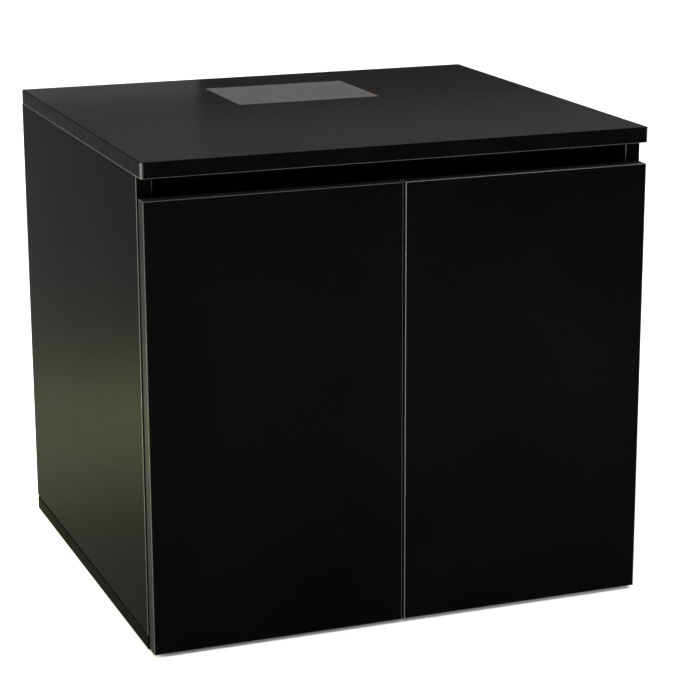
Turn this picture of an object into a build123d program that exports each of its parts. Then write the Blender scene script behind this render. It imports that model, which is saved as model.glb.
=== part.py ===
"""Two-door aquarium cabinet of 18 mm board, with concealed hinges.

Millimetres, +Z up. The origin is on the floor, under the middle of the cabinet, and the doors face -Y.
"""
from build123d import *
from math import sqrt
import os

os.makedirs("parts", exist_ok=True)

# ---- driving dimensions: the cabinet ----
WIDTH = 600.0
DEPTH = 540.0
HEIGHT = 560.0
BOARD = 18.0
EDGING = 1.0            # thickness of the edge band
EDGING_ROUND = 0.5      # broken corner of an edge band
JOINT_BREAK = 1.5       # broken edges where the side and bottom boards meet, which leave a shadow line
GLIDE_HEIGHT = 3.0
GLIDE_RADIUS = 15.0
GLIDE_INSET = 45.0      # centre of a glide from the two outer faces beside it

# ---- driving dimensions: the doors ----
DOOR_THICKNESS = 18.0
DOOR_BACK_GAP = 2.0     # air between a closed door and the carcass
DOOR_SIDE_INSET = 1.5   # from the outer face of the side panel
DOOR_MEETING_GAP = 3.0
DOOR_FLOOR_GAP = 4.0
FINGER_GAP = 24.0       # between the top board and the doors

# ---- driving dimensions: inside ----
RAIL_HEIGHT = 60.0
RAIL_SETBACK = 30.0     # from the front edge of the carcass
CABLE_HOLE_RADIUS = 30.0
CABLE_HOLE_SPACING = 320.0
CABLE_HOLE_DROP = 75.0  # centre below the top board
GROMMET_WALL = 2.0
GROMMET_FLANGE = 4.0
GROMMET_FLANGE_THICKNESS = 2.0

# ---- driving dimensions: the pipe cut-out in the top ----
COVER_LENGTH = 180.0    # along X
COVER_WIDTH = 136.0     # along Y
COVER_THICKNESS = 8.0
COVER_CENTRE_X = 7.0
COVER_BACK_MARGIN = 82.0
COVER_CLEARANCE = 0.5
COVER_LEDGE = 12.0
COVER_CORNER = 3.0

# ---- driving dimensions: fittings ----
CAM_RADIUS = 7.4
CAM_DEPTH = 12.5
CAM_EDGE = 24.0         # centre of a cam from the joint
CAM_CLEARANCE = 0.1
BOLT_RADIUS = 3.0
BOLT_HEAD_RADIUS = 3.5
BOLT_HEAD_LENGTH = 3.0
BOLT_BITE = 11.0
BOLT_BORE_RADIUS = 3.9
BOLT_DEPTH = 9.0        # axis of a bolt below the face that its cam is let into
THREAD_CLEARANCE = 0.05
DOWEL_RADIUS = 4.0
DOWEL_LENGTH = 30.0
DOWEL_FACE_DEPTH = 11.0
DOWEL_END_CLEARANCE = 0.5
DOWEL_STEP = 40.0       # from its cam
FRONT_FIXING_INSET = 70.0
BACK_FIXING_INSET = 60.0
BASE_SCREW_LENGTH = 50.0
BASE_SCREW_RADIUS = 3.3
BASE_SCREW_HEAD_RADIUS = 5.0
BUMPER_RADIUS = 4.0
BUMPER_CLEARANCE = 0.15
BUMPER_FROM_MIDDLE = 30.0
BUMPER_SPACING = 120.0

# ---- driving dimensions: the hinges, seen from above ----
# "inward" runs from the outer face of the side panel towards the middle of the cabinet,
# "ahead" runs forwards from the front edge of the carcass.
HINGE_END_DISTANCE = 100.0
CUP_RADIUS = 17.5
CUP_DEPTH = 11.5
CUP_WALL = 0.8
CUP_TAB = 3.0           # wood between the cup and the edge of the door
CUP_FLANGE = 1.5
FLANGE_THICKNESS = 1.2
FLANGE_HALF_HEIGHT = 29.0
EAR_PITCH = 45.0
EAR_OFFSET = 9.5
EAR_RADIUS = 6.0
ARM_PIVOT_INWARD = 14.0  # from the centre of the cup
ARM_PIVOT_AHEAD = -3.2
CUP_PIVOT_OUTWARD = 5.0  # from the centre of the cup
CUP_PIVOT_DEPTH = 3.0    # below the back of the door
LINK_BEND_INWARD = -1.5  # from the arm pivot
LINK_BEND_AHEAD = 13.0   # from the arm pivot
LINK_THICKNESS = 2.4
LINK_HALF_WIDTH = 7.0
LINK_EYE_RADIUS = 2.6
PIN_RADIUS = 1.5
PIN_CLEARANCE = 0.05
ARM_WALL = 1.2
ARM_GAP = 1.3           # between the link and a wall of the arm
NOSE_RADIUS = 3.2
PLATE_HEIGHT = 50.0
PLATE_WIDTH = 18.0
PLATE_THICKNESS = 2.5
PLATE_SETBACK = 37.0    # system hole line, behind the front edge
PLATE_SCREW_PITCH = 32.0
PLATE_BLOCK_HALF = 5.5
SMALL_SCREW_RADIUS = 1.75
SMALL_SCREW_HEAD = 3.4
SMALL_SCREW_LENGTH = 14.0
EURO_SCREW_RADIUS = 3.0
EURO_SCREW_LENGTH = 11.0
RECESS_WIDTH = 1.0
RECESS_DEPTH = 1.2

# ---- places that follow from them ----
half_width = WIDTH / 2
front = -DEPTH / 2
back = DEPTH / 2
carcass_front = front + DOOR_THICKNESS + DOOR_BACK_GAP
bottom_top = GLIDE_HEIGHT + BOARD
top_under = HEIGHT - BOARD
inner_half = half_width - BOARD
back_inner = back - BOARD
door_low = DOOR_FLOOR_GAP
door_high = top_under - FINGER_GAP
door_back = carcass_front - DOOR_BACK_GAP
rail_front = carcass_front + RAIL_SETBACK
rail_low = top_under - RAIL_HEIGHT
hinge_levels = (door_low + HINGE_END_DISTANCE, door_high - HINGE_END_DISTANCE)
fixing_rows = (carcass_front + FRONT_FIXING_INSET, back - BACK_FIXING_INSET)
cover_centre_y = back - COVER_BACK_MARGIN - COVER_WIDTH / 2
cable_level = top_under - CABLE_HOLE_DROP
arm_wall_inner = LINK_HALF_WIDTH + ARM_GAP
SIDES = (("left", -1), ("right", 1))


def save(piece, label):
    """Names a finished piece and writes it."""
    piece.part.label = label
    export_step(piece.part, f"parts/{label}.step")


def slab(x_span, y_span, z_span, mode=Mode.ADD):
    """A block between three pairs of limits, in the part being built."""
    centre = ((x_span[0] + x_span[1]) / 2, (y_span[0] + y_span[1]) / 2)
    with BuildSketch(Plane.XY.offset(z_span[0])) as base:
        with Locations(centre):
            Rectangle(x_span[1] - x_span[0], y_span[1] - y_span[0])
    extrude(base.sketch, amount=z_span[1] - z_span[0], mode=mode)


def rod(plane, radius, length, mode=Mode.ADD):
    """A round bar or hole that starts on a plane and runs along its normal."""
    with BuildSketch(plane) as disc:
        Circle(radius)
    extrude(disc.sketch, amount=length, mode=mode)


def cross_recess(plane, reach):
    """A cross cut down into the head that the plane lies on."""
    with BuildSketch(plane) as cross:
        Rectangle(2 * reach, RECESS_WIDTH)
        Rectangle(RECESS_WIDTH, 2 * reach)
    extrude(cross.sketch, amount=-RECESS_DEPTH, mode=Mode.SUBTRACT)


def screw(plane, radius, head_radius, length, clearance=0.0, mode=Mode.ADD):
    """A countersunk screw, or the hole for one, driven down from the plane that its head is flush with."""
    with BuildSketch(plane) as mouth:
        Circle(head_radius + clearance)
    with BuildSketch(plane.offset(radius - head_radius)) as throat:
        Circle(radius + clearance)
    loft([mouth.sketch, throat.sketch], mode=mode)
    rod(plane, radius + clearance, -(length + clearance), mode)


# ---- fittings: each joint is a plane on the meeting face, with Z into the board that takes the bolt ----
class Fixing:
    """A cam joint: the bolt's axis plane, and the direction that the cam faces."""

    def __init__(self, point, towards, facing):
        self.point = Vector(point)
        self.towards = Vector(towards)
        self.facing = Vector(facing)

    def bolt_plane(self, distance):
        """A plane across the bolt, this far past the meeting face."""
        return Plane(self.point + self.towards * distance, x_dir=self.facing, z_dir=self.towards)

    def cam_plane(self):
        """The plane of the board face that the cam is let into, seen from outside."""
        centre = self.point - self.towards * CAM_EDGE + self.facing * BOLT_DEPTH
        return Plane(centre, x_dir=self.towards, z_dir=self.facing)


def rows_stepped_in(step):
    """The front and back row of fixings in a side panel, both moved towards its middle."""
    return (fixing_rows[0] + step, fixing_rows[1] - step)


def top_fixings(step=0.0):
    """Joints of the side panels into the top board."""
    places = []
    for sign in (-1, 1):
        for row in rows_stepped_in(step):
            x = sign * (inner_half + BOLT_DEPTH)
            places.append(Fixing((x, row, top_under), (0, 0, 1), (-sign, 0, 0)))
    return places


def rail_fixings(drop):
    """Joints of the front rail into the side panels."""
    y = rail_front + BOARD - BOLT_DEPTH
    z = top_under - drop
    return [Fixing((sign * inner_half, y, z), (sign, 0, 0), (0, 1, 0)) for sign in (-1, 1)]


def back_fixings(step=0.0):
    """Joints of the back panel into the side panels."""
    places = []
    for sign in (-1, 1):
        for z in (bottom_top + FRONT_FIXING_INSET + step, top_under - FRONT_FIXING_INSET - step):
            places.append(Fixing((sign * inner_half, back_inner + BOLT_DEPTH, z), (sign, 0, 0), (0, -1, 0)))
    return places


def base_dowel_fixings():
    """Dowels of the side panels down into the bottom board."""
    places = []
    for sign in (-1, 1):
        for row in rows_stepped_in(DOWEL_STEP):
            x = sign * (half_width - BOARD / 2)
            places.append(Fixing((x, row, bottom_top), (0, 0, -1), (-sign, 0, 0)))
    return places


cam_places = top_fixings() + rail_fixings(RAIL_HEIGHT / 4) + back_fixings()
dowel_places = top_fixings(DOWEL_STEP) + rail_fixings(RAIL_HEIGHT * 3 / 4)
dowel_places += back_fixings(DOWEL_STEP) + base_dowel_fixings()
base_screw_places = [
    (sign * (half_width - BOARD / 2), row) for sign in (-1, 1) for row in fixing_rows
] + [(sign * WIDTH / 4, back - BOARD / 2) for sign in (-1, 1)]
glide_places = [
    (x, y)
    for x in (-half_width + GLIDE_INSET, half_width - GLIDE_INSET)
    for y in (carcass_front + GLIDE_INSET, back - GLIDE_INSET)
]


def cut_fittings():
    """Bores every board being built for the cams, bolts, dowels and base screws that reach it."""
    for place in cam_places:
        rod(place.cam_plane(), CAM_RADIUS + CAM_CLEARANCE, -(CAM_DEPTH + CAM_CLEARANCE), Mode.SUBTRACT)
        rod(place.bolt_plane(-CAM_EDGE), BOLT_BORE_RADIUS, CAM_EDGE, Mode.SUBTRACT)
        rod(place.bolt_plane(0), BOLT_RADIUS + THREAD_CLEARANCE, BOLT_BITE + CAM_CLEARANCE, Mode.SUBTRACT)
    for place in dowel_places:
        start = DOWEL_FACE_DEPTH + DOWEL_END_CLEARANCE
        length = DOWEL_LENGTH + 2 * DOWEL_END_CLEARANCE
        rod(place.bolt_plane(start), DOWEL_RADIUS + THREAD_CLEARANCE, -length, Mode.SUBTRACT)
    for x, y in base_screw_places:
        head = Plane((x, y, GLIDE_HEIGHT), z_dir=(0, 0, -1))
        screw(head, BASE_SCREW_RADIUS, BASE_SCREW_HEAD_RADIUS, BASE_SCREW_LENGTH, THREAD_CLEARANCE,
              Mode.SUBTRACT)


# ---- boards of the carcass ----
with BuildPart() as top_panel:
    slab((-half_width + EDGING, half_width - EDGING), (front + EDGING, back - EDGING), (top_under, HEIGHT))
    cut_fittings()
    with BuildSketch(Plane.XY.offset(HEIGHT)):
        with Locations((COVER_CENTRE_X, cover_centre_y)):
            RectangleRounded(
                COVER_LENGTH + 2 * COVER_CLEARANCE,
                COVER_WIDTH + 2 * COVER_CLEARANCE,
                COVER_CORNER + COVER_CLEARANCE,
            )
    extrude(amount=-COVER_THICKNESS, mode=Mode.SUBTRACT)
    with BuildSketch(Plane.XY.offset(HEIGHT)):
        with Locations((COVER_CENTRE_X, cover_centre_y)):
            Rectangle(COVER_LENGTH - 2 * COVER_LEDGE, COVER_WIDTH - 2 * COVER_LEDGE)
    extrude(amount=-BOARD, mode=Mode.SUBTRACT)
save(top_panel, "top_panel")

with BuildPart() as top_edging:
    slab((-half_width, half_width), (front, back), (top_under, HEIGHT))
    chamfer(edges(), length=EDGING_ROUND)
    slab(
        (-half_width + EDGING, half_width - EDGING),
        (front + EDGING, back - EDGING),
        (top_under - 1, HEIGHT + 1),
        Mode.SUBTRACT,
    )
save(top_edging, "top_edging")

with BuildPart() as pipe_cutout_cover:
    with BuildSketch(Plane.XY.offset(HEIGHT - COVER_THICKNESS)):
        with Locations((COVER_CENTRE_X, cover_centre_y)):
            RectangleRounded(COVER_LENGTH, COVER_WIDTH, COVER_CORNER)
    extrude(amount=COVER_THICKNESS)
    chamfer(edges().group_by(Axis.Z)[-1], length=EDGING_ROUND)
save(pipe_cutout_cover, "pipe_cutout_cover")

with BuildPart() as bottom_panel:
    slab((-half_width, half_width), (carcass_front, back), (GLIDE_HEIGHT, bottom_top))
    chamfer(edges(), length=JOINT_BREAK)
    cut_fittings()
    for x, y in glide_places:
        rod(Plane((x, y, GLIDE_HEIGHT)), PIN_RADIUS, BOARD * 2 / 3, Mode.SUBTRACT)
save(bottom_panel, "bottom_panel")

for name, sign in SIDES:
    outer = sign * half_width
    inner = sign * inner_half
    x_span = (min(outer, inner), max(outer, inner))

    with BuildPart() as side_panel:
        slab(x_span, (carcass_front + EDGING, back), (bottom_top, top_under))
        outermost = 0 if sign < 0 else -1
        chamfer(edges().filter_by(Axis.Y).group_by(Axis.Z)[0].sort_by(Axis.X)[outermost], length=JOINT_BREAK)
        cut_fittings()
        for level in hinge_levels:
            for offset in (-PLATE_SCREW_PITCH / 2, PLATE_SCREW_PITCH / 2):
                seat = Plane((inner, carcass_front + PLATE_SETBACK, level + offset), z_dir=(sign, 0, 0))
                rod(seat, EURO_SCREW_RADIUS + THREAD_CLEARANCE, EURO_SCREW_LENGTH, Mode.SUBTRACT)
    save(side_panel, f"{name}_side_panel")

    with BuildPart() as side_edging:
        slab(x_span, (carcass_front, carcass_front + EDGING), (bottom_top, top_under))
        chamfer(edges().filter_by(Axis.Z).group_by(Axis.Y)[0], length=EDGING_ROUND)
    save(side_edging, f"{name}_side_edging")

with BuildPart() as back_panel:
    slab((-inner_half, inner_half), (back_inner, back), (bottom_top, top_under))
    cut_fittings()
    for x in (-CABLE_HOLE_SPACING / 2, CABLE_HOLE_SPACING / 2):
        rod(Plane((x, back, cable_level), z_dir=(0, -1, 0)), CABLE_HOLE_RADIUS, BOARD, Mode.SUBTRACT)
save(back_panel, "back_panel")

with BuildPart() as front_rail:
    slab((-inner_half, inner_half), (rail_front, rail_front + BOARD), (rail_low, top_under))
    cut_fittings()
save(front_rail, "front_rail")

with BuildPart() as cable_grommets:
    for x in (-CABLE_HOLE_SPACING / 2, CABLE_HOLE_SPACING / 2):
        inside = Plane((x, back_inner, cable_level), z_dir=(0, -1, 0))
        liner_radius = CABLE_HOLE_RADIUS - CAM_CLEARANCE
        rod(inside, CABLE_HOLE_RADIUS + GROMMET_FLANGE, GROMMET_FLANGE_THICKNESS)
        rod(inside, liner_radius, -BOARD)
        mouth = inside.offset(GROMMET_FLANGE_THICKNESS)
        rod(mouth, liner_radius - GROMMET_WALL, -(BOARD + GROMMET_FLANGE_THICKNESS), Mode.SUBTRACT)
save(cable_grommets, "cable_grommets")

# ---- fittings of the carcass ----
with BuildPart() as cam_locks:
    for place in cam_places:
        face = place.cam_plane()
        rod(face, CAM_RADIUS, -CAM_DEPTH)
        rod(place.bolt_plane(-CAM_EDGE - BOLT_HEAD_LENGTH), BOLT_BORE_RADIUS, CAM_EDGE, Mode.SUBTRACT)
        cross_recess(face, CAM_RADIUS / 2)
save(cam_locks, "cam_locks")

with BuildPart() as cam_bolts:
    for place in cam_places:
        rod(place.bolt_plane(-CAM_EDGE), BOLT_RADIUS, CAM_EDGE + BOLT_BITE)
        rod(place.bolt_plane(-CAM_EDGE - BOLT_HEAD_LENGTH / 2), BOLT_HEAD_RADIUS, BOLT_HEAD_LENGTH)
save(cam_bolts, "cam_bolts")

with BuildPart() as dowels:
    for place in dowel_places:
        rod(place.bolt_plane(DOWEL_FACE_DEPTH), DOWEL_RADIUS, -DOWEL_LENGTH)
save(dowels, "dowels")

with BuildPart() as base_screws:
    for x, y in base_screw_places:
        head = Plane((x, y, GLIDE_HEIGHT), z_dir=(0, 0, -1))
        screw(head, BASE_SCREW_RADIUS, BASE_SCREW_HEAD_RADIUS, BASE_SCREW_LENGTH)
        cross_recess(head, BASE_SCREW_RADIUS)
save(base_screws, "base_screws")

with BuildPart() as floor_glides:
    for x, y in glide_places:
        rod(Plane((x, y, 0)), GLIDE_RADIUS, GLIDE_HEIGHT)
    chamfer(edges().group_by(Axis.Z)[0], length=EDGING_ROUND)
    for x, y in glide_places:
        rod(Plane((x, y, GLIDE_HEIGHT)), PIN_RADIUS - THREAD_CLEARANCE, BOARD / 2)
save(floor_glides, "floor_glides")

with BuildPart() as door_bumpers:
    for sign in (-1, 1):
        for x in (BUMPER_FROM_MIDDLE, BUMPER_FROM_MIDDLE + BUMPER_SPACING):
            seat = Plane((sign * x, carcass_front, GLIDE_HEIGHT + BOARD / 2), z_dir=(0, -1, 0))
            rod(seat, BUMPER_RADIUS, DOOR_BACK_GAP - BUMPER_CLEARANCE)
save(door_bumpers, "door_bumpers")

# ---- places of the hinges, measured inwards from the outer face of the side panel ----
door_edge = DOOR_SIDE_INSET
cup_centre = door_edge + CUP_TAB + CUP_RADIUS
cup_inner_radius = CUP_RADIUS - CUP_WALL
arm_pivot = (cup_centre + ARM_PIVOT_INWARD, ARM_PIVOT_AHEAD)
cup_pivot = (cup_centre - CUP_PIVOT_OUTWARD, DOOR_BACK_GAP + CUP_PIVOT_DEPTH)
link_bend = (arm_pivot[0] + LINK_BEND_INWARD, arm_pivot[1] + LINK_BEND_AHEAD)
plate_top = BOARD + PLATE_THICKNESS
plate_ahead = -PLATE_SETBACK
arm_low = plate_top + 0.5
arm_high = plate_top + 10.0
arm_tail = plate_ahead - 25.0
arm_knee = plate_ahead + 11.0
nose_low = arm_pivot[0] - NOSE_RADIUS
nose_high = arm_pivot[0] + NOSE_RADIUS
nose_back = arm_pivot[1] - 9.0
web_end = arm_pivot[1] - LINK_EYE_RADIUS - 2.0
block_top = arm_high - ARM_WALL - 0.8
arm_screw_rows = (plate_ahead + 3.0, plate_ahead - 16.0)
flange_back = DOOR_BACK_GAP - FLANGE_THICKNESS


def seen_from_above(sign, points):
    """Turns (inward, ahead) pairs of one side's hinge into X and Y."""
    return [(sign * (half_width - inward), carcass_front - ahead) for inward, ahead in points]


def upright(sign, points, level, half_height, mode=Mode.ADD):
    """A profile seen from above, run the same distance up and down from a level."""
    with BuildSketch(Plane.XY.offset(level - half_height)) as profile:
        with BuildLine():
            Polyline(seen_from_above(sign, points), close=True)
        make_face()
    extrude(profile.sketch, amount=2 * half_height, mode=mode)


def upright_rod(sign, point, radius, level, half_height, mode=Mode.ADD):
    """A round pin or bore on a vertical axis."""
    x, y = seen_from_above(sign, [point])[0]
    rod(Plane((x, y, level - half_height)), radius, 2 * half_height, mode)


def ear_planes(sign, level):
    """Planes on the flange of a cup, at its two screws, facing out of the door."""
    x, y = seen_from_above(sign, [(cup_centre + EAR_OFFSET, flange_back)])[0]
    return [Plane((x, y, level + offset), z_dir=(0, 1, 0)) for offset in (-EAR_PITCH / 2, EAR_PITCH / 2)]


def plate_screw_planes(sign, level):
    """Planes on a mounting plate, at its two screws, facing into the cabinet."""
    x, y = seen_from_above(sign, [(plate_top, plate_ahead)])[0]
    offsets = (-PLATE_SCREW_PITCH / 2, PLATE_SCREW_PITCH / 2)
    return [Plane((x, y, level + offset), z_dir=(-sign, 0, 0)) for offset in offsets]


def cut_cup(sign, level):
    """Bores the door being built for one cup and its screws."""
    x, y = seen_from_above(sign, [(cup_centre, DOOR_BACK_GAP)])[0]
    rod(Plane((x, y, level), z_dir=(0, -1, 0)), CUP_RADIUS + CAM_CLEARANCE, CUP_DEPTH + CAM_CLEARANCE,
        Mode.SUBTRACT)
    for plane in ear_planes(sign, level):
        screw(plane, SMALL_SCREW_RADIUS, SMALL_SCREW_HEAD, SMALL_SCREW_LENGTH, THREAD_CLEARANCE,
              Mode.SUBTRACT)


# ---- doors ----
for name, sign in SIDES:
    free_edge = sign * DOOR_MEETING_GAP / 2
    hinge_edge = sign * (half_width - door_edge)
    x_span = (min(free_edge, hinge_edge), max(free_edge, hinge_edge))

    with BuildPart() as door:
        slab(
            (x_span[0] + EDGING, x_span[1] - EDGING),
            (front, door_back),
            (door_low + EDGING, door_high - EDGING),
        )
        for level in hinge_levels:
            cut_cup(sign, level)
    save(door, f"{name}_door")

    with BuildPart() as door_edging:
        slab(x_span, (front, door_back), (door_low, door_high))
        chamfer(edges(), length=EDGING_ROUND)
        slab(
            (x_span[0] + EDGING, x_span[1] - EDGING),
            (front - 1, door_back + 1),
            (door_low + EDGING, door_high - EDGING),
            Mode.SUBTRACT,
        )
    save(door_edging, f"{name}_door_edging")

# ---- hinges: two on each door ----
for name, sign in SIDES:
    with BuildPart() as hinge_cups:
        for level in hinge_levels:
            x, y = seen_from_above(sign, [(cup_centre, DOOR_BACK_GAP)])[0]
            seat = Plane((x, y, level), x_dir=(-sign, 0, 0), z_dir=(0, 1, 0))
            rod(seat, CUP_RADIUS, -CUP_DEPTH)
            with BuildSketch(seat):
                Circle(CUP_RADIUS + CUP_FLANGE)
                with Locations((EAR_OFFSET, 0)):
                    RectangleRounded(2 * EAR_RADIUS, 2 * FLANGE_HALF_HEIGHT, EAR_RADIUS * 0.9)
            extrude(amount=FLANGE_THICKNESS)
            rod(seat.offset(FLANGE_THICKNESS), cup_inner_radius, -(FLANGE_THICKNESS + CUP_DEPTH - CUP_WALL),
                Mode.SUBTRACT)
            for plane in ear_planes(sign, level):
                screw(plane, SMALL_SCREW_RADIUS, SMALL_SCREW_HEAD, SMALL_SCREW_LENGTH, THREAD_CLEARANCE,
                      Mode.SUBTRACT)
    save(hinge_cups, f"{name}_hinge_cups")

    with BuildPart() as cup_screws:
        for level in hinge_levels:
            for plane in ear_planes(sign, level):
                screw(plane, SMALL_SCREW_RADIUS, SMALL_SCREW_HEAD, SMALL_SCREW_LENGTH)
                cross_recess(plane, SMALL_SCREW_RADIUS)
    save(cup_screws, f"{name}_cup_screws")

    with BuildPart() as cup_pins:
        reach = sqrt(cup_inner_radius**2 - (cup_centre - cup_pivot[0] + PIN_RADIUS) ** 2)
        for level in hinge_levels:
            upright_rod(sign, cup_pivot, PIN_RADIUS, level, reach - PIN_CLEARANCE)
    save(cup_pins, f"{name}_cup_pins")

    with BuildPart() as hinge_links:
        for level in hinge_levels:
            with BuildSketch(Plane.XY.offset(level - LINK_HALF_WIDTH)):
                route = seen_from_above(sign, [arm_pivot, link_bend, cup_pivot])
                with BuildLine():
                    FilletPolyline(*route, radius=LINK_THICKNESS)
                trace(line_width=LINK_THICKNESS)
                with Locations(*seen_from_above(sign, [arm_pivot, cup_pivot])):
                    Circle(LINK_EYE_RADIUS)
                    Circle(PIN_RADIUS + PIN_CLEARANCE, mode=Mode.SUBTRACT)
            extrude(amount=2 * LINK_HALF_WIDTH)
    save(hinge_links, f"{name}_hinge_links")

    with BuildPart() as hinge_arms:
        wall_outer = arm_wall_inner + ARM_WALL
        for level in hinge_levels:
            wall = [
                (arm_low, arm_tail),
                (arm_high, arm_tail),
                (arm_high, arm_knee),
                (nose_high, nose_back),
                (nose_high, arm_pivot[1]),
                (nose_low, arm_pivot[1]),
                (arm_low + 3.0, nose_back - 4.0),
                (arm_low, nose_back - 10.0),
            ]
            channel = [
                (arm_low - 1.0, arm_tail - 1.0),
                (arm_high - ARM_WALL, arm_tail - 1.0),
                (arm_high - ARM_WALL, arm_knee + ARM_WALL / 2),
                (nose_high - ARM_WALL, nose_back + ARM_WALL / 2),
                (nose_high - ARM_WALL, web_end),
                (nose_high + 1.0, web_end),
                (nose_high + 1.0, arm_pivot[1] + NOSE_RADIUS + 1.0),
                (arm_low - 1.0, arm_pivot[1] + NOSE_RADIUS + 1.0),
            ]
            upright(sign, wall, level, wall_outer)
            upright_rod(sign, arm_pivot, NOSE_RADIUS, level, wall_outer)
            upright(sign, channel, level, arm_wall_inner, Mode.SUBTRACT)
            upright_rod(sign, arm_pivot, PIN_RADIUS + PIN_CLEARANCE, level, wall_outer, Mode.SUBTRACT)
            for row in arm_screw_rows:
                x, y = seen_from_above(sign, [(arm_high, row)])[0]
                rod(Plane((x, y, level), z_dir=(sign, 0, 0)), SMALL_SCREW_RADIUS + THREAD_CLEARANCE,
                    2 * ARM_WALL, Mode.SUBTRACT)
    save(hinge_arms, f"{name}_hinge_arms")

    with BuildPart() as arm_pins:
        for level in hinge_levels:
            upright_rod(sign, arm_pivot, PIN_RADIUS, level, wall_outer)
    save(arm_pins, f"{name}_arm_pins")

    with BuildPart() as mounting_plates:
        half = PLATE_WIDTH / 2
        for level in hinge_levels:
            base = [
                (BOARD, plate_ahead - half),
                (plate_top, plate_ahead - half),
                (plate_top, plate_ahead + half),
                (BOARD, plate_ahead + half),
            ]
            block = [
                (BOARD, arm_tail + 2.0),
                (block_top, arm_tail + 2.0),
                (block_top, plate_ahead + half),
                (BOARD, plate_ahead + half),
            ]
            upright(sign, base, level, PLATE_HEIGHT / 2)
            upright(sign, block, level, PLATE_BLOCK_HALF)
            for row in arm_screw_rows:
                x, y = seen_from_above(sign, [(block_top, row)])[0]
                rod(Plane((x, y, level), z_dir=(sign, 0, 0)), SMALL_SCREW_RADIUS + THREAD_CLEARANCE,
                    block_top - BOARD, Mode.SUBTRACT)
            for plane in plate_screw_planes(sign, level):
                screw(plane, EURO_SCREW_RADIUS, EURO_SCREW_RADIUS + 1.6, EURO_SCREW_LENGTH, THREAD_CLEARANCE,
                      Mode.SUBTRACT)
    save(mounting_plates, f"{name}_mounting_plates")

    with BuildPart() as plate_screws:
        for level in hinge_levels:
            for plane in plate_screw_planes(sign, level):
                screw(plane, EURO_SCREW_RADIUS, EURO_SCREW_RADIUS + 1.6, EURO_SCREW_LENGTH)
                cross_recess(plane, EURO_SCREW_RADIUS)
    save(plate_screws, f"{name}_plate_screws")

    with BuildPart() as arm_screws:
        for level in hinge_levels:
            for row in arm_screw_rows:
                x, y = seen_from_above(sign, [(arm_high, row)])[0]
                head = Plane((x, y, level), z_dir=(-sign, 0, 0))
                rod(head, SMALL_SCREW_HEAD, 2 * RECESS_DEPTH)
                rod(head, SMALL_SCREW_RADIUS, -(arm_high - BOARD - THREAD_CLEARANCE))
                cross_recess(head.offset(2 * RECESS_DEPTH), SMALL_SCREW_RADIUS)
    save(arm_screws, f"{name}_arm_screws")
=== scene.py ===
"""The looks of a two-door aquarium cabinet of black melamine board.

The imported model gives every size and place. This script dresses its parts, rounds the edge bands and the
pressed hinge parts, and sets up a plain studio.
"""

from __future__ import annotations

import logging
import math
from dataclasses import dataclass, field
from enum import Enum

import bmesh
import bpy
from mathutils import Euler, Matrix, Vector


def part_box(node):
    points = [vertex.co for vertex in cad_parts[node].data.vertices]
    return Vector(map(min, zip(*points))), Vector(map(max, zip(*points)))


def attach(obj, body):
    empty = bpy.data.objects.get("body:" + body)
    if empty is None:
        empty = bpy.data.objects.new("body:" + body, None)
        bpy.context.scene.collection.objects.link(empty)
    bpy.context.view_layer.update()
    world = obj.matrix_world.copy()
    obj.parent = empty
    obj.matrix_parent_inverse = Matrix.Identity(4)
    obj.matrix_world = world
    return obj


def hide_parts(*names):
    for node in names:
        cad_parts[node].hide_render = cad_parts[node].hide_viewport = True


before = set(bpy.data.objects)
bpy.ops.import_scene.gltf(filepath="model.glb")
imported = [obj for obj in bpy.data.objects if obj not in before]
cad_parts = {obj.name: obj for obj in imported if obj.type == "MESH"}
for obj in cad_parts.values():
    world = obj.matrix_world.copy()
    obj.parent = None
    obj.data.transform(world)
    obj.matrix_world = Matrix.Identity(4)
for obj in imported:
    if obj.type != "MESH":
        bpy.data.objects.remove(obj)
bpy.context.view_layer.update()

MM = 0.001
NOISE_LOW = 0.3  # nearly all of a noise texture lies between these two values
NOISE_HIGH = 0.7
PARALLEL = 0.99  # the cosine above which an edge counts as parallel to an axis
LOG = logging.getLogger("cabinet")


class Axis(Enum):
    """A direction that edge bands run along or are open to, by its place in a vector."""

    Y = 1
    Z = 2


class Side(Enum):
    """One of the two halves of the cabinet, named as its nodes are."""

    LEFT = "left"
    RIGHT = "right"


# ---- nodes and colours ----


def linear(colour: str) -> tuple[float, float, float, float]:
    """Turns an sRGB hex colour into linear light, by the curve of the sRGB standard.

    Args:
        colour: Six hex digits with a leading hash.

    Returns:
        Red, green, blue and an alpha of one.
    """
    values = []
    for start in (1, 3, 5):
        share = int(colour[start : start + 2], 16) / 255
        values.append(share / 12.92 if share <= 0.04045 else ((share + 0.055) / 1.055) ** 2.4)
    return (values[0], values[1], values[2], 1.0)


def add_node(
    tree: bpy.types.NodeTree, kind: str, settings: dict, links: dict | None = None
) -> bpy.types.Node:
    """Adds a node, sets it up and wires its inputs.

    Args:
        tree: The node tree that takes it.
        kind: The node's type name.
        settings: Values by the name of a property, or by the name or number of an input.
        links: Sockets of other nodes, by the name or number of the input that each feeds.

    Returns:
        The new node.
    """
    node = tree.nodes.new(kind)
    for key, value in settings.items():
        if isinstance(key, str) and hasattr(node, key):
            setattr(node, key, value)
        else:
            node.inputs[key].default_value = value
    for key, socket in (links or {}).items():
        tree.links.new(socket, node.inputs[key])
    return node


def per_metre(size_mm: float) -> float:
    """A texture scale that gives a pattern of this size in millimetres."""
    return 1.0 / (size_mm * MM)


def new_material(name: str) -> tuple[bpy.types.Material, bpy.types.NodeTree, bpy.types.NodeSocket]:
    """Starts a node material.

    Args:
        name: What the material is called.

    Returns:
        The material, its tree, and a socket with the piece's own coordinates in metres.
    """
    material = bpy.data.materials.new(name)
    material.use_nodes = True
    tree = material.node_tree
    tree.nodes.clear()
    place = add_node(tree, "ShaderNodeTexCoord", {})
    return material, tree, place.outputs["Object"]


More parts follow.
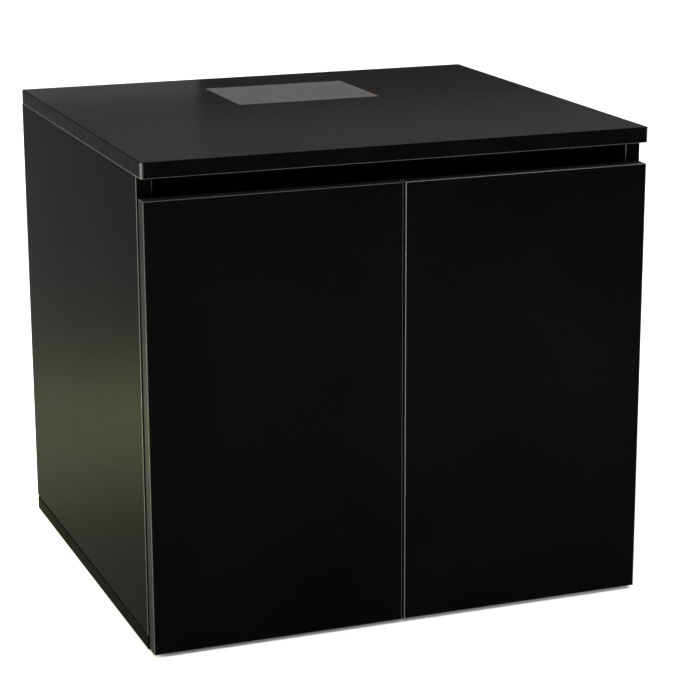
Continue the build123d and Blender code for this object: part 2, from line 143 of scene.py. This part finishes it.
def mottle(
    tree: bpy.types.NodeTree,
    place: bpy.types.NodeSocket,
    size_mm: float,
    detail: float,
    low: float = 0.0,
    high: float = 1.0,
) -> bpy.types.NodeSocket:
    """A soft uneven pattern between two values.

    Args:
        tree: The node tree that takes it.
        place: The coordinates to read.
        size_mm: The width of a patch.
        detail: Octaves of finer pattern.
        low: The value in the lows.
        high: The value in the highs.

    Returns:
        The socket with the value.
    """
    noise = add_node(
        tree, "ShaderNodeTexNoise", {"Scale": per_metre(size_mm), "Detail": detail}, {"Vector": place}
    )
    spread = add_node(
        tree,
        "ShaderNodeMapRange",
        {"From Min": NOISE_LOW, "From Max": NOISE_HIGH, "To Min": low, "To Max": high},
        {"Value": noise.outputs["Fac"]},
    )
    return spread.outputs["Result"]


# ---- finishes ----


@dataclass(frozen=True)
class RawChipboard:
    """The bare core of a sawn board: pressed wood chips, a few millimetres across, pale brown and dull.

    It shows on upright faces of the board itself, which the edge band covers all round the outside, so
    only the walls of cut-outs and holes are left bare.
    """

    dark: str = "#8A6A45"
    light: str = "#D2B58A"
    chip_mm: float = 3.5
    roughness: float = 0.85
    upright_below: float = 0.5  # the Z share of a normal under which a face counts as upright

    def show_on_walls(
        self, tree: bpy.types.NodeTree, place: bpy.types.NodeSocket, links: dict[str, bpy.types.NodeSocket]
    ) -> None:
        """Changes a board's colour and roughness to the core's on its upright faces.

        Args:
            tree: The material's tree.
            place: The piece's coordinates.
            links: The shader's links, whose colour and roughness are changed.
        """
        chips = add_node(
            tree,
            "ShaderNodeTexVoronoi",
            {"Scale": per_metre(self.chip_mm), "Randomness": 1.0},
            {"Vector": place},
        )
        draws = add_node(tree, "ShaderNodeSeparateColor", {}, {"Color": chips.outputs["Color"]})
        tones = {"data_type": "RGBA", 6: linear(self.dark), 7: linear(self.light)}
        core = add_node(tree, "ShaderNodeMix", tones, {0: draws.outputs["Red"]}).outputs[2]
        normal = add_node(tree, "ShaderNodeNewGeometry", {}).outputs["Normal"]
        height = add_node(tree, "ShaderNodeSeparateXYZ", {}, {"Vector": normal}).outputs["Z"]
        level = add_node(tree, "ShaderNodeMath", {"operation": "ABSOLUTE"}, {0: height}).outputs[0]
        upright = add_node(
            tree, "ShaderNodeMath", {"operation": "LESS_THAN", 1: self.upright_below}, {0: level}
        ).outputs[0]
        colour = add_node(
            tree,
            "ShaderNodeMix",
            {"data_type": "RGBA"},
            {0: upright, 6: links["Base Color"], 7: core},
        )
        rough = add_node(
            tree,
            "ShaderNodeMix",
            {"data_type": "FLOAT", 3: self.roughness},
            {0: upright, 2: links["Roughness"]},
        )
        links["Base Color"] = colour.outputs[2]
        links["Roughness"] = rough.outputs[0]


@dataclass(frozen=True)
class Melamine:
    """Melamine-faced chipboard: resin paper pressed on the board against a finely pearled plate.

    It reads as an even black with a soft, wide sheen. The pearls are really about 0.2 mm across and are
    drawn coarser so that they show. The specular level is far below the real one, because a black board
    at a grazing angle mirrors the white floor of the studio and would turn grey.
    """

    name: str
    dark: str
    light: str
    roughness: float
    specular: float
    core: RawChipboard | None = None
    ior: float = 1.5
    cloud_mm: float = 140.0
    speck_share: float = 0.35
    sheen_drift: float = 0.015
    pearl_mm: float = 0.9
    pearl_depth_mm: float = 0.012
    pearl_smoothness: float = 0.6
    pearl_strength: float = 0.35

    def build(self) -> bpy.types.Material:
        """Makes the material, with the raw core on its cut walls where it has one."""
        material, tree, place = new_material(self.name)
        cloud = mottle(tree, place, self.cloud_mm, detail=2.0)
        speck = mottle(tree, place, self.pearl_mm * 2, detail=1.0)
        share = add_node(
            tree,
            "ShaderNodeMath",
            {"operation": "MULTIPLY_ADD", 1: self.speck_share},
            {0: speck, 2: cloud},
        ).outputs[0]
        tones = {"data_type": "RGBA", 6: linear(self.dark), 7: linear(self.light)}
        face = add_node(tree, "ShaderNodeMix", tones, {0: share}).outputs[2]
        rough = mottle(
            tree,
            place,
            self.cloud_mm / 2,
            detail=3.0,
            low=self.roughness - self.sheen_drift,
            high=self.roughness + self.sheen_drift,
        )
        pearls = add_node(
            tree,
            "ShaderNodeTexVoronoi",
            {
                "feature": "SMOOTH_F1",
                "Scale": per_metre(self.pearl_mm),
                "Smoothness": self.pearl_smoothness,
            },
            {"Vector": place},
        )
        bump = add_node(
            tree,
            "ShaderNodeBump",
            {"Strength": self.pearl_strength, "Distance": self.pearl_depth_mm * MM},
            {"Height": pearls.outputs["Distance"]},
        )
        links = {"Base Color": face, "Roughness": rough, "Normal": bump.outputs["Normal"]}
        if self.core:
            self.core.show_on_walls(tree, place, links)
        settings = {"Specular IOR Level": self.specular, "IOR": self.ior}
        shader = add_node(tree, "ShaderNodeBsdfPrincipled", settings, links)
        add_node(tree, "ShaderNodeOutputMaterial", {}, {"Surface": shader.outputs[0]})
        return material


@dataclass(frozen=True)
class Moulded:
    """Moulded or extruded plastic or rubber: an even colour with a fine eroded grain and a soft sheen.

    The grain is really finer and is drawn as coarse as it needs to show.
    """

    name: str
    dark: str
    light: str
    roughness: float
    specular: float
    grain_mm: float = 0.8
    grain_depth_mm: float = 0.01
    grain_strength: float = 0.4
    cloud_mm: float = 40.0
    sheen_mm: float = 12.0
    sheen_drift: float = 0.05
    coat: float = 0.0
    coat_roughness: float = 0.25

    def build(self) -> bpy.types.Material:
        """Makes the material."""
        material, tree, place = new_material(self.name)
        cloud = mottle(tree, place, self.cloud_mm, detail=2.0)
        tones = {"data_type": "RGBA", 6: linear(self.dark), 7: linear(self.light)}
        colour = add_node(tree, "ShaderNodeMix", tones, {0: cloud}).outputs[2]
        rough = mottle(
            tree,
            place,
            self.sheen_mm,
            detail=3.0,
            low=self.roughness - self.sheen_drift,
            high=self.roughness + self.sheen_drift,
        )
        grain = add_node(
            tree,
            "ShaderNodeTexNoise",
            {"Scale": per_metre(self.grain_mm), "Detail": 2.0},
            {"Vector": place},
        )
        bump = add_node(
            tree,
            "ShaderNodeBump",
            {"Strength": self.grain_strength, "Distance": self.grain_depth_mm * MM},
            {"Height": grain.outputs["Fac"]},
        )
        links = {"Base Color": colour, "Roughness": rough, "Normal": bump.outputs["Normal"]}
        settings = {
            "Specular IOR Level": self.specular,
            "Coat Weight": self.coat,
            "Coat Roughness": self.coat_roughness,
        }
        shader = add_node(tree, "ShaderNodeBsdfPrincipled", settings, links)
        add_node(tree, "ShaderNodeOutputMaterial", {}, {"Surface": shader.outputs[0]})
        return material


@dataclass(frozen=True)
class FittingMetal:
    """Cast, turned or pressed metal, raw or plated: faint rolling lines or cast grain in a bright surface.

    Stretch draws the grain out along Z, as rolling does.
    """

    name: str
    dark: str
    light: str
    roughness: float
    grain_mm: float
    stretch: float = 1.0
    grain_depth_mm: float = 0.01
    grain_strength: float = 0.3
    tint_mm: float = 8.0
    sheen_gain: float = 0.06
    sheen_loss: float = 0.08

    def build(self) -> bpy.types.Material:
        """Makes the material."""
        material, tree, place = new_material(self.name)
        drawn = add_node(
            tree,
            "ShaderNodeMapping",
            {"Scale": Vector((1.0, 1.0, 1.0 / self.stretch))},
            {"Vector": place},
        ).outputs[0]
        tint = mottle(tree, place, self.tint_mm, detail=3.0)
        tones = {"data_type": "RGBA", 6: linear(self.dark), 7: linear(self.light)}
        colour = add_node(tree, "ShaderNodeMix", tones, {0: tint}).outputs[2]
        rough = mottle(
            tree,
            drawn,
            self.grain_mm,
            detail=2.0,
            low=self.roughness - self.sheen_gain,
            high=self.roughness + self.sheen_loss,
        )
        grain = add_node(
            tree,
            "ShaderNodeTexNoise",
            {"Scale": per_metre(self.grain_mm), "Detail": 3.0},
            {"Vector": drawn},
        )
        bump = add_node(
            tree,
            "ShaderNodeBump",
            {"Strength": self.grain_strength, "Distance": self.grain_depth_mm * MM},
            {"Height": grain.outputs["Fac"]},
        )
        links = {"Base Color": colour, "Roughness": rough, "Normal": bump.outputs["Normal"]}
        shader = add_node(tree, "ShaderNodeBsdfPrincipled", {"Metallic": 1.0}, links)
        add_node(tree, "ShaderNodeOutputMaterial", {}, {"Surface": shader.outputs[0]})
        return material


@dataclass(frozen=True)
class Beech:
    """Turned beech dowel: pale pinkish wood with short dark flecks, drawn out upright."""

    name: str = "turned_beech"
    dark: str = "#B98A5C"
    light: str = "#DDB98C"
    roughness: float = 0.7
    fleck_mm: float = 1.2
    stretch: float = 5.0

    def build(self) -> bpy.types.Material:
        """Makes the material."""
        material, tree, place = new_material(self.name)
        drawn = add_node(
            tree,
            "ShaderNodeMapping",
            {"Scale": Vector((1.0, 1.0, 1.0 / self.stretch))},
            {"Vector": place},
        ).outputs[0]
        flecks = mottle(tree, drawn, self.fleck_mm, detail=4.0)
        tones = {"data_type": "RGBA", 6: linear(self.dark), 7: linear(self.light)}
        colour = add_node(tree, "ShaderNodeMix", tones, {0: flecks}).outputs[2]
        shader = add_node(
            tree, "ShaderNodeBsdfPrincipled", {"Roughness": self.roughness}, {"Base Color": colour}
        )
        add_node(tree, "ShaderNodeOutputMaterial", {}, {"Surface": shader.outputs[0]})
        return material


@dataclass(frozen=True)
class StudioPaint:
    """Floor paint: matt and nearly white."""

    name: str = "studio_floor_paint"
    colour: str = "#F4F4F4"
    roughness: float = 0.9
    specular: float = 0.1

    def build(self) -> bpy.types.Material:
        """Makes the material."""
        material, tree, _place = new_material(self.name)
        settings = {
            "Base Color": linear(self.colour),
            "Roughness": self.roughness,
            "Specular IOR Level": self.specular,
        }
        shader = add_node(tree, "ShaderNodeBsdfPrincipled", settings)
        add_node(tree, "ShaderNodeOutputMaterial", {}, {"Surface": shader.outputs[0]})
        return material


# ---- meshes ----


def node_box(node: str) -> tuple[Vector, Vector]:
    """The lowest and highest corner of a node."""
    low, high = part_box(node)
    return Vector(low), Vector(high)


def mesh_object(name: str, work: bmesh.types.BMesh, material: bpy.types.Material) -> bpy.types.Object:
    """Turns finished mesh work into an object of the scene.

    Args:
        name: The piece's name.
        work: The mesh, in the row frame and in metres. It is freed.
        material: What the piece wears.

    Returns:
        The new object, at the origin.
    """
    bmesh.ops.recalc_face_normals(work, faces=work.faces)
    mesh = bpy.data.meshes.new(name)
    work.to_mesh(mesh)
    work.free()
    mesh.materials.append(material)
    piece = bpy.data.objects.new(name, mesh)
    bpy.context.scene.collection.objects.link(piece)
    return piece


def dress(node: str, material: bpy.types.Material) -> None:
    """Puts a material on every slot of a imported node."""
    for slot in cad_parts[node].material_slots:
        slot.material = material
    LOG.info("dressed %s in %s", node, material.name)


def block(low: Vector, high: Vector) -> bmesh.types.BMesh:
    """A mesh block between two corners."""
    work = bmesh.new()
    bmesh.ops.create_cube(work, size=1.0)
    bmesh.ops.scale(work, vec=high - low, verts=work.verts)
    bmesh.ops.translate(work, vec=(low + high) / 2, verts=work.verts)
    return work


@dataclass
class EdgeBands:
    """The 1 mm bands glued round the boards, with the rounded arrises that a trimming cutter leaves.

    A trimmed arris is scraped and buffed: it is glossier than the flat of its band, and paler, which is
    partly the scraped plastic and partly a painted highlight, so it shows as a thin line of light. One
    that faces up further than the limit below, as the Z share of its normal, gets no painted highlight and
    stays as dark as the flat.
    """

    flat: bpy.types.Material
    arris: bpy.types.Material
    painted_highlight_below: float = 1.0
    thickness: float = 1.0 * MM
    arris_radius: float = 0.7 * MM
    arris_segments: int = 3
    corner_segments: int = 6
    sharp_angle: float = math.radians(60.0)
    square_share: float = 0.995  # the largest share of a normal from which a face counts as flat

    def ring(self, node: str, body: str, open_axis: Axis, corner: float = 0.0) -> bpy.types.Object:
        """Builds a band that runs right round a board.

        Args:
            node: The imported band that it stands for.
            body: The body it rides on.
            open_axis: The direction in which the ring is open.
            corner: The radius in which the band turns from one side of the board to the next, where it
                is larger than the rounding of the arrises.

        Returns:
            The piece.
        """
        work = block(*node_box(node))
        if corner > self.arris_radius:
            turns = [edge for edge in work.edges if self._runs_along(edge, open_axis)]
            self._round(work, turns, corner, self.corner_segments)
        arrises = [edge for edge in work.edges if edge.calc_face_angle() > self.sharp_angle]
        self._round(work, arrises, self.arris_radius, self.arris_segments)
        along = open_axis.value
        caps = sorted(work.faces, key=lambda face: face.calc_area() * abs(face.normal[along]))[-2:]
        bmesh.ops.inset_individual(work, faces=caps, thickness=self.thickness - self.arris_radius)
        rims = [edge for face in caps for edge in face.edges]
        bmesh.ops.delete(work, geom=caps, context="FACES_ONLY")
        bmesh.ops.bridge_loops(work, edges=rims)
        return self._place(node, body, work)

    def strip(self, node: str, body: str) -> bpy.types.Object:
        """Builds a band on the front of an upright board.

        Args:
            node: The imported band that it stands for.
            body: The body it rides on.

        Returns:
            The piece.
        """
        low, high = node_box(node)
        work = block(low, high)
        middle = (low.y + high.y) / 2
        arrises = [
            edge
            for edge in work.edges
            if self._runs_along(edge, Axis.Z) and max(vert.co.y for vert in edge.verts) < middle
        ]
        self._round(work, arrises, self.arris_radius, self.arris_segments)
        return self._place(node, body, work)

    @staticmethod
    def _runs_along(edge: bmesh.types.BMEdge, axis: Axis) -> bool:
        """Whether an edge is parallel to an axis."""
        run = edge.verts[1].co - edge.verts[0].co
        return abs(run[axis.value]) > PARALLEL * run.length

    @staticmethod
    def _round(
        work: bmesh.types.BMesh, edges: list[bmesh.types.BMEdge], radius: float, segments: int
    ) -> None:
        """Rounds edges of a band.

        Args:
            work: The band's mesh.
            edges: The edges to round.
            radius: The radius of the rounding.
            segments: How many facets it has.
        """
        bmesh.ops.bevel(
            work,
            geom=edges,
            offset=radius,
            offset_type="OFFSET",
            segments=segments,
            profile=0.5,
            affect="EDGES",
            material=-1,
        )

    def _place(self, node: str, body: str, work: bmesh.types.BMesh) -> bpy.types.Object:
        """Finishes a band: gives its arrises their finish and ties it to its body.

        Args:
            node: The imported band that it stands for.
            body: The body it rides on.
            work: The band's mesh. It is freed.

        Returns:
            The piece.
        """
        piece = mesh_object(f"{node}_rounded", work, self.flat)
        piece.data.materials.append(self.arris)
        arris_slot = len(piece.data.materials) - 1
        # Slanted faces under the facing limit take the arris material, whose paler colour paints a
        # highlight line.
        for face in piece.data.polygons:
            face.use_smooth = False
            slanted = max(abs(share) for share in face.normal) < self.square_share
            if slanted and face.normal.z < self.painted_highlight_below:
                face.material_index = arris_slot
        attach(piece, body)
        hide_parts(node)
        LOG.info("built %s on %s", piece.name, body)
        return piece


@dataclass
class PressedFittings:
    """Hinge parts pressed from sheet steel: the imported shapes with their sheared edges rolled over."""

    material: bpy.types.Material
    slot: str
    edge_radius: float = 0.25 * MM
    edge_segments: int = 2
    weld: float = 0.001 * MM
    sharp_angle: float = math.radians(35.0)

    def soften(self, node: str, body: str) -> bpy.types.Object:
        """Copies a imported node, welds it and rounds its sharp edges.

        Args:
            node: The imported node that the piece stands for.
            body: The body it rides on.

        Returns:
            The piece.
        """
        work = bmesh.new()
        work.from_mesh(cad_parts[node].data)
        bmesh.ops.remove_doubles(work, verts=work.verts, dist=self.weld)
        piece = mesh_object(f"{node}_softened", work, self.material)
        rounding = piece.modifiers.new("rolled_edges", "BEVEL")
        rounding.width = self.edge_radius
        rounding.segments = self.edge_segments
        rounding.limit_method = "ANGLE"
        rounding.angle_limit = self.sharp_angle
        rounding.use_clamp_overlap = True
        for face in piece.data.polygons:
            face.use_smooth = True
        piece.data.set_sharp_from_angle(angle=self.sharp_angle)
        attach(piece, body)
        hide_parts(node)
        LOG.info("built %s on %s", piece.name, body)
        return piece


# ---- sub-assemblies ----


@dataclass
class Carcass:
    """The boards that stand still: top, bottom, sides, back and the rail under the top.

    All are of one black melamine. The left side and the edge of the bottom board mirror the brightest
    part of the floor and are toned down the most. The right side and the back keep a livelier sheen and a
    slightly paler colour, a painted lightening, or they would read as flat black.
    """

    bands: EdgeBands
    top_corner: float = 3.0 * MM
    near_boards: tuple[str, ...] = ("left_side_panel", "front_rail")
    far_boards: tuple[str, ...] = ("right_side_panel", "back_panel")
    near_finish: Melamine = Melamine(
        "pearled_melamine", "#040404", "#060606", roughness=0.26, specular=0.001
    )
    base_finish: Melamine = Melamine(
        "pearled_melamine_base", "#040404", "#060606", roughness=0.3, specular=0.0006
    )
    far_finish: Melamine = Melamine(
        "pearled_melamine_far", "#050505", "#080808", roughness=0.26, specular=0.035
    )
    top_finish: Melamine = Melamine(
        "pearled_melamine_top", "#050505", "#070707", roughness=0.26, specular=0.0055, core=RawChipboard()
    )

    def build(self) -> None:
        """Dresses the boards and bands their edges."""
        near_material = self.near_finish.build()
        for board in self.near_boards:
            dress(board, near_material)
        dress("bottom_panel", self.base_finish.build())
        far_material = self.far_finish.build()
        for board in self.far_boards:
            dress(board, far_material)
        dress("top_panel", self.top_finish.build())
        self.bands.ring("top_edging", "carcass", Axis.Z, self.top_corner)
        for side in Side:
            self.bands.strip(f"{side.value}_side_edging", "carcass")


@dataclass
class Fittings:
    """What holds the carcass together and what it stands on."""

    # Zinc as it comes from the die: mid grey, dull and slightly grained.
    cast_finish: FittingMetal = FittingMetal(
        "raw_zinc_casting", "#8C8D8F", "#A9AAAC", roughness=0.42, grain_mm=0.7
    )
    # Zinc plate on drawn steel: bright and faintly lined.
    plated_finish: FittingMetal = FittingMetal(
        "bright_zinc_plate", "#B4B6BA", "#D0D2D6", roughness=0.25, grain_mm=0.3, stretch=6.0
    )
    # Moulded polypropylene: a waxy black, duller than the boards.
    plastic_finish: Moulded = Moulded(
        "moulded_black_polypropylene",
        "#0E0E0F",
        "#151516",
        roughness=0.45,
        specular=0.4,
        grain_mm=0.5,
        grain_depth_mm=0.015,
    )
    # Clear silicone: it reads as a pale, milky drop with a wet gloss.
    bumper_finish: Moulded = Moulded(
        "clear_silicone_rubber", "#A9A9A4", "#BDBDB8", roughness=0.35, specular=0.5, coat=0.3
    )
    beech_finish: Beech = Beech()

    def build(self) -> bpy.types.Material:
        """Dresses the fittings and returns the bright plating, which the hinge screws share."""
        plated = self.plated_finish.build()
        plastic = self.plastic_finish.build()
        dress("cam_locks", self.cast_finish.build())
        dress("cam_bolts", plated)
        dress("base_screws", plated)
        dress("dowels", self.beech_finish.build())
        dress("floor_glides", plastic)
        dress("cable_grommets", plastic)
        dress("door_bumpers", self.bumper_finish.build())
        return plated


@dataclass
class LiftOutPlate:
    """The plate let in flush over the cut-out in the top."""

    # Extruded PVC sheet: a dull mid grey with hardly any sheen.
    finish: Moulded = Moulded(
        "grey_pvc_sheet", "#38383A", "#3C3C3E", roughness=0.6, specular=0.05, grain_mm=0.6
    )

    def build(self) -> None:
        """Dresses the plate."""
        dress("pipe_cutout_cover", self.finish.build())


@dataclass
class Doors:
    """The two overlay doors with the hinges that carry them."""

    bands: dict[Side, EdgeBands]
    plated: bpy.types.Material
    board_finish: Melamine = Melamine(
        "pearled_melamine_door", "#020202", "#040404", roughness=0.3, specular=0.008
    )
    # Nickel on rolled steel strip: bright, a little warm, with fine upright lines.
    pressed_finish: FittingMetal = FittingMetal(
        "nickel_plated_steel", "#A8A7A2", "#C6C4BE", roughness=0.28, grain_mm=0.4, stretch=8.0
    )
    hinge_hardware: tuple[str, ...] = ("cup_screws", "plate_screws", "arm_screws", "cup_pins", "arm_pins")

    def build(self) -> None:
        """Dresses both doors and their hinges."""
        board = self.board_finish.build()
        pressed = PressedFittings(self.pressed_finish.build(), "hinge_steel")
        for side in Side:
            door = f"{side.value}_door"
            dress(door, board)
            self.bands[side].ring(f"{side.value}_door_edging", door, Axis.Y)
            pressed.soften(f"{side.value}_hinge_cups", door)
            pressed.soften(f"{side.value}_hinge_links", f"{side.value}_links")
            pressed.soften(f"{side.value}_hinge_arms", "carcass")
            pressed.soften(f"{side.value}_mounting_plates", "carcass")
            for hardware in self.hinge_hardware:
                dress(f"{side.value}_{hardware}", self.plated)


@dataclass
class SoftBox:
    """A rectangular studio light, with its sizes in metres and its power in watts."""

    name: str
    place: Vector
    target: Vector
    width: float
    height: float
    power: float
    colour: str = "#FFFFFF"

    def build(self) -> None:
        """Hangs the light and points it."""
        light = bpy.data.lights.new(self.name, "AREA")
        light.shape = "RECTANGLE"
        light.size = self.width
        light.size_y = self.height
        light.energy = self.power
        light.color = linear(self.colour)[:3]
        holder = bpy.data.objects.new(self.name, light)
        holder.location = self.place
        holder.rotation_euler = (self.target - self.place).to_track_quat("-Z", "Y").to_euler()
        holder.visible_camera = False
        bpy.context.scene.collection.objects.link(holder)


def soft_boxes() -> tuple[SoftBox, ...]:
    """The lights of the studio."""
    return (
        # The main light, high above, which makes the floor white.
        SoftBox(
            name="ceiling_box",
            place=Vector((1.5, 2.0, 6.0)),
            target=Vector((1.5, 2.0, 0.0)),
            width=16.0,
            height=16.0,
            power=1900.0,
        ),
        # A pool of greenish light on the floor, which the left side mirrors.
        SoftBox(
            name="left_box",
            place=Vector((-0.85, 0.55, 0.3)),
            target=Vector((-0.85, 0.55, 0.0)),
            width=0.4,
            height=0.4,
            power=25.0,
            colour="#ECFFAC",
        ),
        # A wide box at the front left, for the edges that face it.
        SoftBox(
            name="tall_box",
            place=Vector((-2.4, -0.6, 0.7)),
            target=Vector((-0.3, -0.25, 0.35)),
            width=2.0,
            height=1.2,
            power=90.0,
            colour="#FFF2EE",
        ),
        # A pool of light on the floor in front, which the doors mirror.
        SoftBox(
            name="right_box",
            place=Vector((0.5, -1.45, 0.5)),
            target=Vector((0.5, -1.45, 0.0)),
            width=0.4,
            height=0.4,
            power=24.0,
        ),
        # A strip behind and above the top, for a soft gleam on it.
        SoftBox(
            name="back_strip",
            place=Vector((0.25, 0.45, 0.72)),
            target=Vector((0.25, -0.2, 0.56)),
            width=1.1,
            height=0.08,
            power=0.22,
        ),
        # A short strip behind the back left corner, for the gleam that the top has there.
        SoftBox(
            name="corner_strip",
            place=Vector((-0.22, 0.5, 0.60)),
            target=Vector((-0.2, 0.25, 0.56)),
            width=0.46,
            height=0.03,
            power=0.04,
        ),
    )


@dataclass
class Studio:
    """A pale floor, soft boxes and a long lens to the front left of the cabinet."""

    camera_place: Vector = field(default_factory=lambda: Vector((-0.9473, -2.5711, 1.0051)))
    camera_down: float = math.radians(15.25)
    camera_turn: float = math.radians(20.98)
    camera_roll: float = math.radians(-0.14)
    lens_mm: float = 118.4
    sensor_mm: float = 36.0
    floor_size: float = 40.0
    sky: str = "#FFFFFF"
    sky_strength: float = 0.15

    def build(self) -> None:
        """Sets up the floor, the lights and the camera."""
        work = bmesh.new()
        bmesh.ops.create_grid(work, x_segments=1, y_segments=1, size=self.floor_size / 2)
        floor = mesh_object("studio_floor", work, StudioPaint().build())
        for soft_box in soft_boxes():
            soft_box.build()
        self._light_sky()
        self._place_camera()

    def _light_sky(self) -> None:
        """Fills the room with even white light."""
        world = bpy.data.worlds.new("studio_room")
        bpy.context.scene.world = world
        world.use_nodes = True
        background = world.node_tree.nodes["Background"]
        background.inputs["Color"].default_value = linear(self.sky)
        background.inputs["Strength"].default_value = self.sky_strength

    def _place_camera(self) -> None:
        """Sets the camera on its stand."""
        lens = bpy.data.cameras.new("camera")
        lens.lens = self.lens_mm
        lens.sensor_width = self.sensor_mm
        camera = bpy.data.objects.new("camera", lens)
        camera.location = self.camera_place
        turn = Euler((math.pi / 2 - self.camera_down, 0.0, -self.camera_turn), "XYZ").to_matrix()
        roll = Euler((0.0, 0.0, self.camera_roll), "XYZ").to_matrix()
        camera.rotation_euler = (turn @ roll).to_euler()
        bpy.context.scene.collection.objects.link(camera)
        bpy.context.scene.camera = camera


def main() -> None:
    """Builds the cabinet's looks, then the studio."""
    logging.basicConfig(level=logging.INFO, format="%(name)s: %(message)s")
    # Extruded ABS band: as dull as the boards on its flat, with the shine of fresh plastic on an arris,
    # whose paler, pinkish colour is a painted highlight line.
    black_bands = EdgeBands(
        flat=Moulded("black_abs_edge_band", "#040404", "#060606", roughness=0.3, specular=0.0022).build(),
        arris=Moulded("buffed_black_abs_painted_highlight", "#121010", "#161313", roughness=0.3, specular=0.5).build(),
        painted_highlight_below=0.2,
    )
    # The doors' bands are dark grey. Their arrises are paler, a painted highlight line; the left door's
    # face the tall box and get a dimmer copy of that painted highlight, or they would glare.
    grey_flat = Moulded("grey_abs_edge_band", "#1A1A1B", "#1E1E1F", roughness=0.35, specular=0.002).build()
    dim_painted_highlight_grey = Moulded("dim_painted_highlight_grey_abs", "#383636", "#3E3C3C", roughness=0.35, specular=0.12).build()
    buffed_grey_painted_highlight = Moulded("buffed_grey_painted_highlight_abs", "#4A4848", "#504E4E", roughness=0.3, specular=0.5).build()
    grey_bands = {
        Side.LEFT: EdgeBands(flat=grey_flat, arris=dim_painted_highlight_grey),
        Side.RIGHT: EdgeBands(flat=grey_flat, arris=buffed_grey_painted_highlight),
    }
    Carcass(black_bands).build()
    plated = Fittings().build()
    LiftOutPlate().build()
    Doors(grey_bands, plated).build()
    Studio().build()
    bpy.context.scene.view_settings.view_transform = "Standard"


if __name__ == "__main__":
    main()
